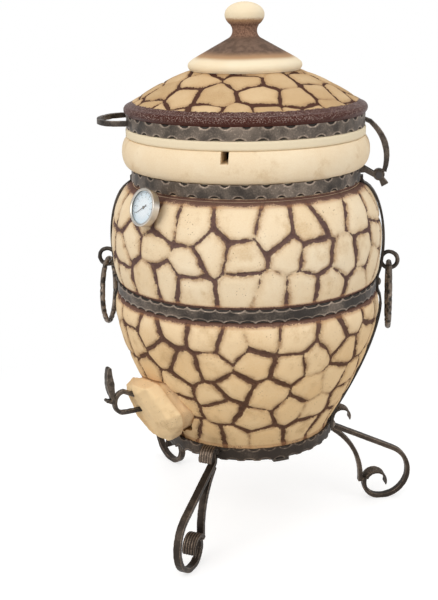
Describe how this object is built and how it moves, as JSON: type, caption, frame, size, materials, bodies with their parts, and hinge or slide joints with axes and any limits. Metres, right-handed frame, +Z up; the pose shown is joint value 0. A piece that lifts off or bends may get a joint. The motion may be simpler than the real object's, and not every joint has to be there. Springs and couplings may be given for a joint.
{
  "type": "clay tandoor oven",
  "caption": "Clay tandoor oven with a hinged clay lid, draught cap, ash door, forged hoops, ring handles, dial thermometer and scrolled legs.",
  "frame": {"origin": "on the floor under the middle of the pot, on the pot's axis", "axes": "+Z up along the pot's axis; +X towards the lid hinge; -X towards the lid handle; -Y towards the viewer of the picture, 5 degrees off its camera"},
  "size_m": [0.6743, 0.6389, 1.0851],
  "materials": {
    "clay": "matt fire clay with stone-pattern relief and brown joints",
    "lid_clay": "matt fire clay, glossy brown glaze on the lid's rim",
    "cap_clay": "smooth matt fire clay with a brown smoke shade",
    "forged_steel": "hammered dark patina with rubbed bronze edges",
    "stand_steel": "hammered brown-black patina",
    "fastener_steel": "darkened steel",
    "cast_grate": "rough cast",
    "stainless": "satin stainless steel",
    "brass": "plain",
    "dial": "matt pale blue-white",
    "lens": "clear",
    "pointer": "matt black"
  },
  "bodies": {
    "pot": {"pot_lower": "clay", "pot_upper": "clay", "neck_band": "forged_steel", "middle_band": "forged_steel", "bottom_band": "stand_steel", "base_bar_long": "stand_steel", "base_bar_cross": "stand_steel", "band_bolts": "fastener_steel", "band_nuts": "fastener_steel", "strap_right": "forged_steel", "strap_left": "forged_steel", "strap_rivets": "forged_steel", "hinge_bracket": "forged_steel", "hinge_pin": "fastener_steel", "hinge_nut": "fastener_steel", "eye_right": "forged_steel", "eye_left": "forged_steel", "leg_front": "stand_steel", "leg_right": "stand_steel", "leg_rear": "stand_steel", "brace_front": "stand_steel", "brace_right": "stand_steel", "brace_rear": "stand_steel", "thermometer_well": "brass", "thermometer_stem": "stainless", "thermometer_case": "stainless", "thermometer_bezel": "stainless", "thermometer_dial": "dial", "thermometer_lens": "lens", "thermometer_spindle": "brass"},
    "ring_right": {"ring_right": "forged_steel"},
    "ring_left": {"ring_left": "forged_steel"},
    "grate": {"fire_grate": "cast_grate"},
    "lid": {"lid_shell": "lid_clay", "lid_band": "forged_steel", "lid_band_bolt": "fastener_steel", "lid_band_nut": "fastener_steel", "lid_arm": "forged_steel", "lid_handle": "forged_steel"},
    "cap": {"lid_cap": "cap_clay"},
    "ash_door": {"ash_door": "lid_clay", "ash_door_handle": "forged_steel", "ash_door_thumb_piece": "forged_steel"},
    "pointer": {"thermometer_pointer": "pointer"}
  },
  "joints": [
    {"name": "lid_hinge", "type": "hinge", "parent": "pot", "child": "lid", "pos_m": [0.269, 0, 0.745], "axis": [0, 1, 0], "range_deg": [0, 100]},
    {"name": "cap_lift", "type": "slide", "parent": "lid", "child": "cap", "axis": [0, 0, 1], "range_m": [0, 0.15]},
    {"name": "ash_door_pull", "type": "slide", "parent": "pot", "child": "ash_door", "axis": [-0.7547, -0.6561, 0], "range_m": [0, 0.15]},
    {"name": "grate_lift", "type": "slide", "parent": "pot", "child": "grate", "axis": [0, 0, 1], "range_m": [0, 0.12]},
    {"name": "ring_swing_right", "type": "hinge", "parent": "pot", "child": "ring_right", "pos_m": [0.29476, 0, 0.5608], "axis": [0, -1, 0], "range_deg": [-4, 110]},
    {"name": "ring_swing_left", "type": "hinge", "parent": "pot", "child": "ring_left", "pos_m": [-0.29476, 0, 0.5608], "axis": [0, 1, 0], "range_deg": [-4, 110]},
    {"name": "pointer_turn", "type": "hinge", "parent": "pot", "child": "pointer", "pos_m": [-0.17758, -0.22325, 0.7195], "axis": [0.6661, 0.6897, -0.284], "range_deg": [0, 250], "stiffness_Nm_per_rad": 0.0001}
  ]
}
